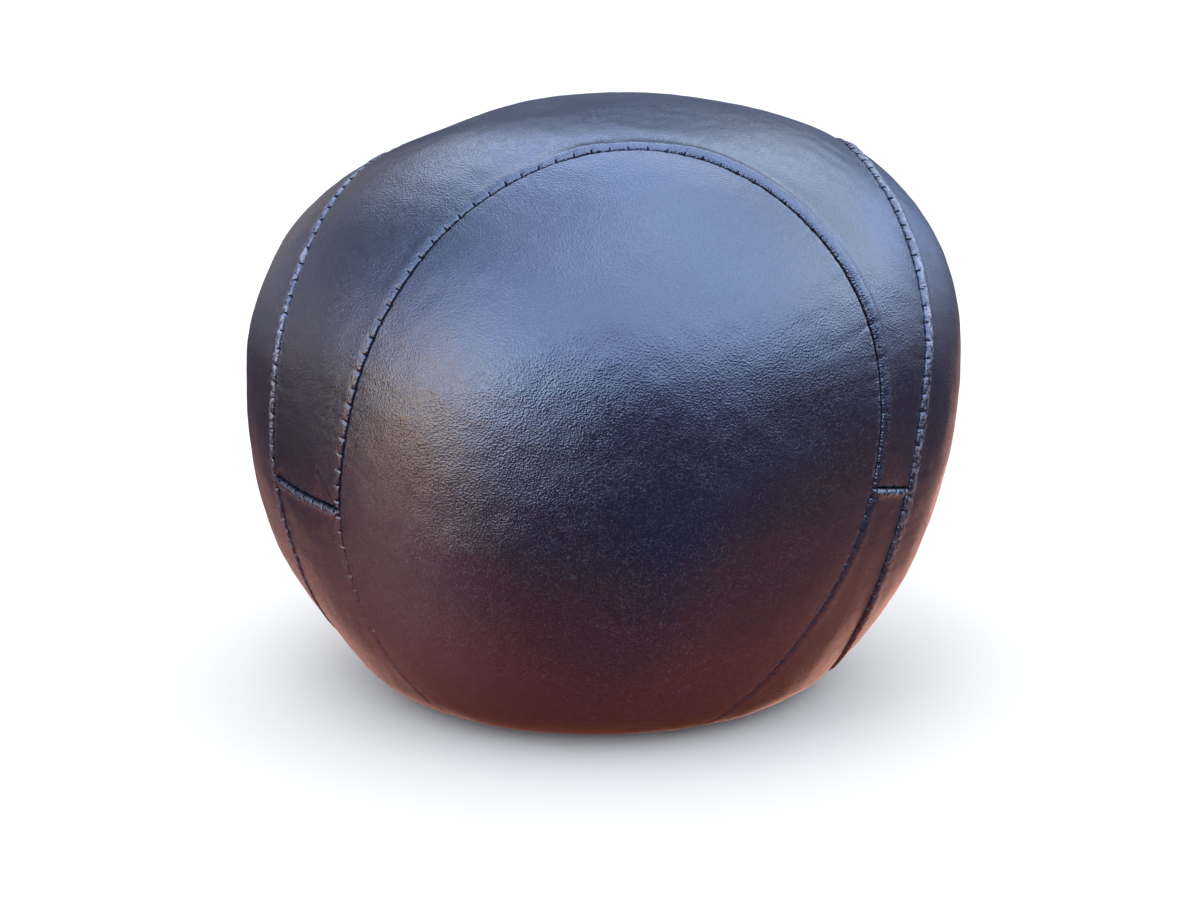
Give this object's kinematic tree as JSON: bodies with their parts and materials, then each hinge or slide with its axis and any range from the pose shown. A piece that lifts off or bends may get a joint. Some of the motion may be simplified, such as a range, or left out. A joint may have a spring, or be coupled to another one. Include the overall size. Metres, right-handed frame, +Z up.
{
  "type": "medicine ball",
  "caption": "Hand-sewn leather medicine ball at rest: oval panels round the belt, four-armed panels over top and base, stuffed, with a sand-filled core.",
  "frame": {"origin": "centre of the flattened base, on the surface that the ball rests on", "axes": "+Z up; -Y out of the oval panel that faces forwards; +X to the right seen from the front"},
  "size_m": [0.29, 0.29, 0.2401],
  "materials": {
    "leather": "satin",
    "thread": "satin",
    "lining": "matte",
    "stuffing": "matte",
    "canvas": "matte",
    "sand": "matte",
    "cord": "matte"
  },
  "bodies": {
    "root": {"front_panel": "leather", "right_panel": "leather", "back_panel": "leather", "left_panel": "leather", "top_panel": "leather", "base_panel": "leather", "front_lining": "lining", "right_lining": "lining", "back_lining": "lining", "left_lining": "lining", "top_lining": "lining", "base_lining": "lining", "front_stitches": "thread", "right_stitches": "thread", "back_stitches": "thread", "left_stitches": "thread", "front_right_join_stitches": "thread", "back_right_join_stitches": "thread", "back_left_join_stitches": "thread", "front_left_join_stitches": "thread", "stuffing_upper": "stuffing", "stuffing_lower": "stuffing", "sand_pouch": "canvas", "sand_fill": "sand", "pouch_tie": "cord"}
  },
  "joints": []
}
